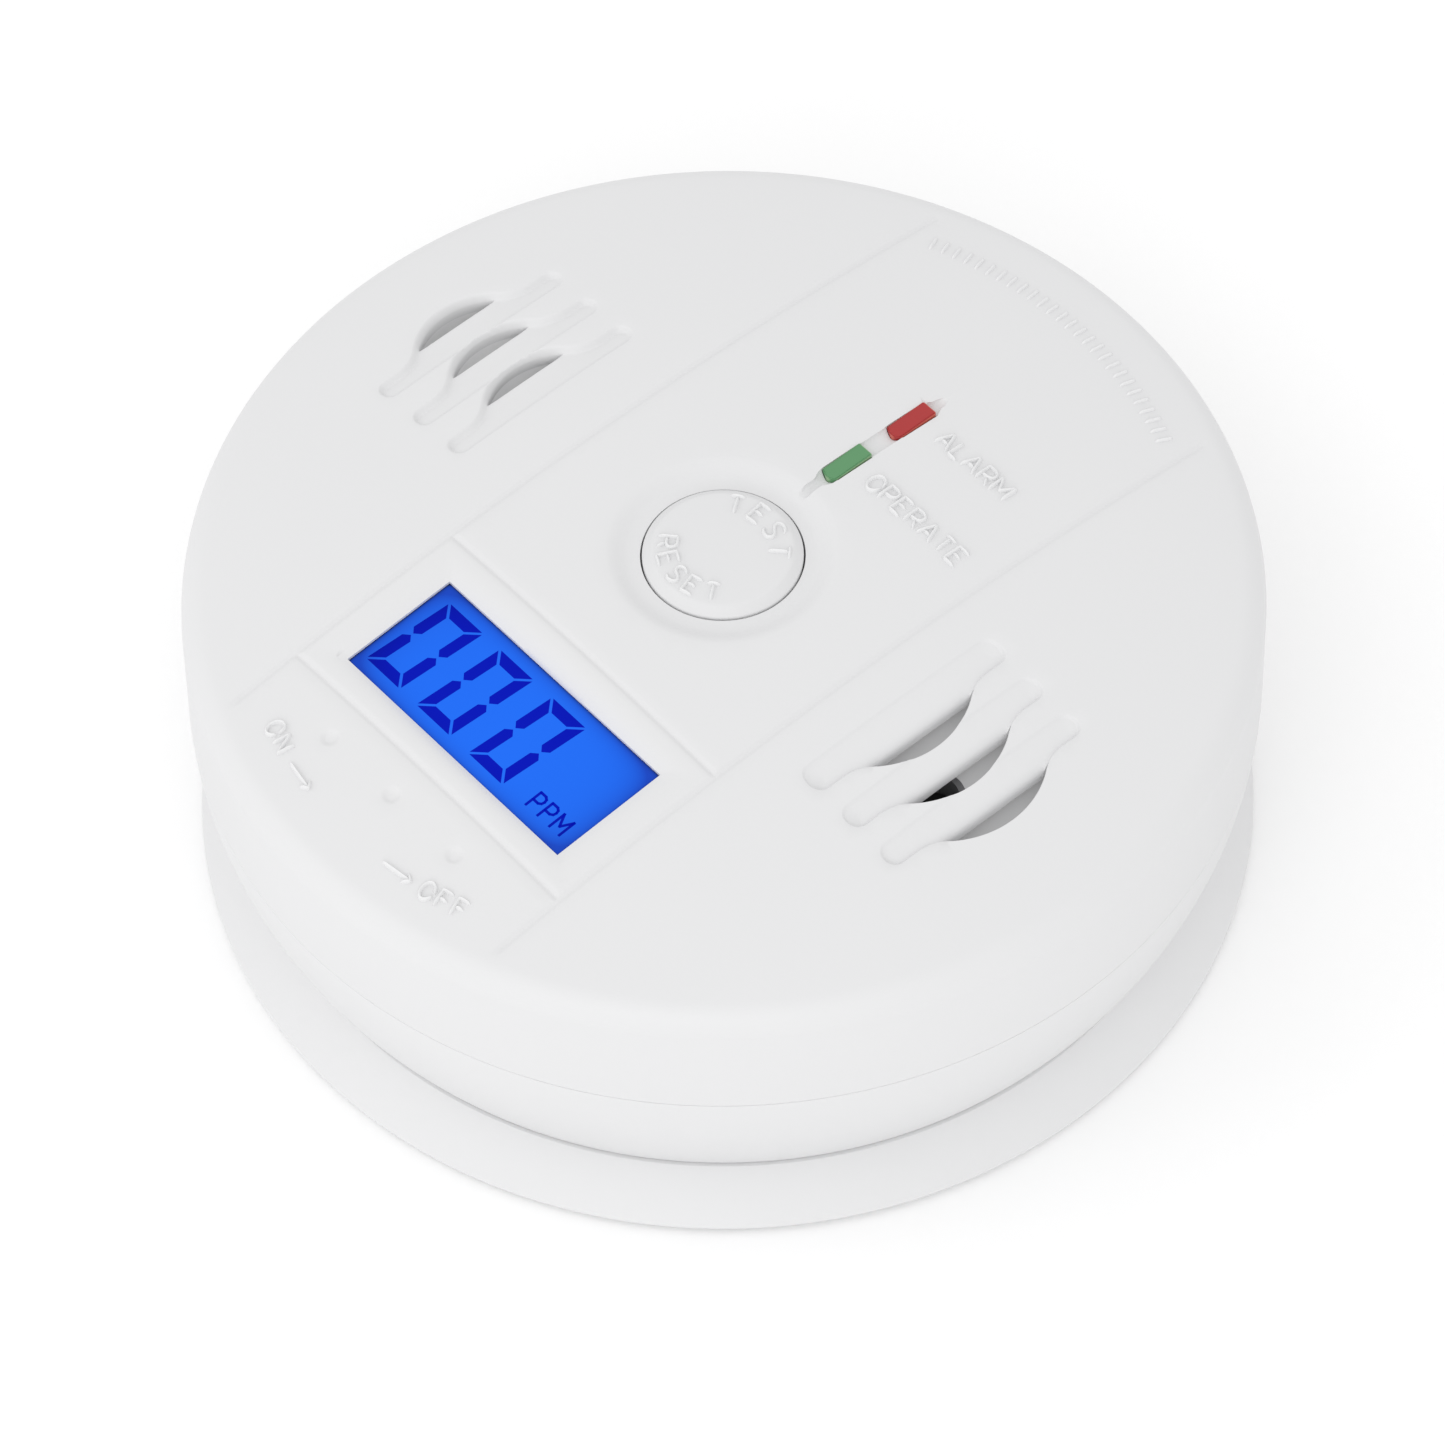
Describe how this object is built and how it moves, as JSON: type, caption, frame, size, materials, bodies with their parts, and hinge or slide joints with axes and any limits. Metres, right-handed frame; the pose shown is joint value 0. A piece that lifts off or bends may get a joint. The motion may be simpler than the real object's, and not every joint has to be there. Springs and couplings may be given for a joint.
{
  "type": "carbon monoxide detector",
  "caption": "Round battery carbon monoxide detector: domed head with display, test button, lamps and vents, twisted onto a flared wall plate.",
  "frame": {"origin": "middle of the back of the mounting plate, on the wall or table that it lies against", "axes": "+Z out of the face; +Y up the wall, from the display towards the lamps; +X to the right seen from the front"},
  "size_m": [0.1004, 0.1004, 0.0382],
  "materials": {
    "shell": "fine matt white moulding",
    "plate": "fine matt white moulding",
    "display": "smooth lit blue glass",
    "light_guide": "satin clear",
    "lamp_red": "satin tinted resin",
    "lamp_green": "satin tinted resin",
    "board": "solder mask over glass laminate",
    "black_plastic": "moulded matt black",
    "pale_plastic": "moulded matt off-white",
    "capacitor_sleeve": "shrunk sleeve",
    "resistor_coat": "lacquer",
    "cell_jacket": "printed film sleeve",
    "steel": "bright nickel plating"
  },
  "bodies": {
    "mount": {"mounting_plate": "plate"},
    "head": {"front_cover": "shell", "rear_cover": "shell", "display_glass": "display", "battery_1": "cell_jacket", "battery_2": "cell_jacket", "battery_3": "cell_jacket", "circuit_board": "board", "display_backlight": "light_guide", "display_pins_upper": "steel", "display_pins_lower": "steel", "lamp_spacer": "black_plastic", "sounder_case": "pale_plastic", "sounder_disc": "black_plastic", "sensor_can": "steel", "sensor_base": "black_plastic", "microcontroller": "black_plastic", "regulator_chip": "black_plastic", "capacitor_large": "capacitor_sleeve", "capacitor_small": "capacitor_sleeve", "boost_inductor": "black_plastic", "switch_body": "black_plastic", "power_lamp_green": "lamp_green", "alarm_lamp_red": "lamp_red", "resistor_1": "resistor_coat", "resistor_2": "resistor_coat", "resistor_3": "resistor_coat", "battery_spring_1": "steel", "battery_spring_2": "steel", "battery_spring_3": "steel", "contact_positive": "steel", "contact_negative": "steel", "contact_link_upper": "steel", "contact_link_lower": "steel", "board_screw_1": "steel", "board_screw_2": "steel", "board_screw_3": "steel", "board_screw_4": "steel", "case_screw_1": "steel", "case_screw_2": "steel", "case_screw_3": "steel", "case_screw_4": "steel"},
    "button": {"test_button": "shell"},
    "plunger": {"switch_plunger": "black_plastic"}
  },
  "joints": [
    {"name": "head_twist", "type": "hinge", "parent": "mount", "child": "head", "pos_m": [0, 0, 0], "axis": [0, 0, 1], "range_deg": [0, 18]},
    {"name": "button_press", "type": "slide", "parent": "head", "child": "button", "axis": [0, 0, -1], "range_m": [0, 0.0005], "stiffness_N_per_m": 2500},
    {"name": "plunger_press", "type": "slide", "parent": "head", "child": "plunger", "axis": [0, 0, -1], "range_m": [0, 0.0005]}
  ],
  "couplings": [
    {"joint": "plunger_press", "follows": "button_press", "ratio": 1}
  ]
}
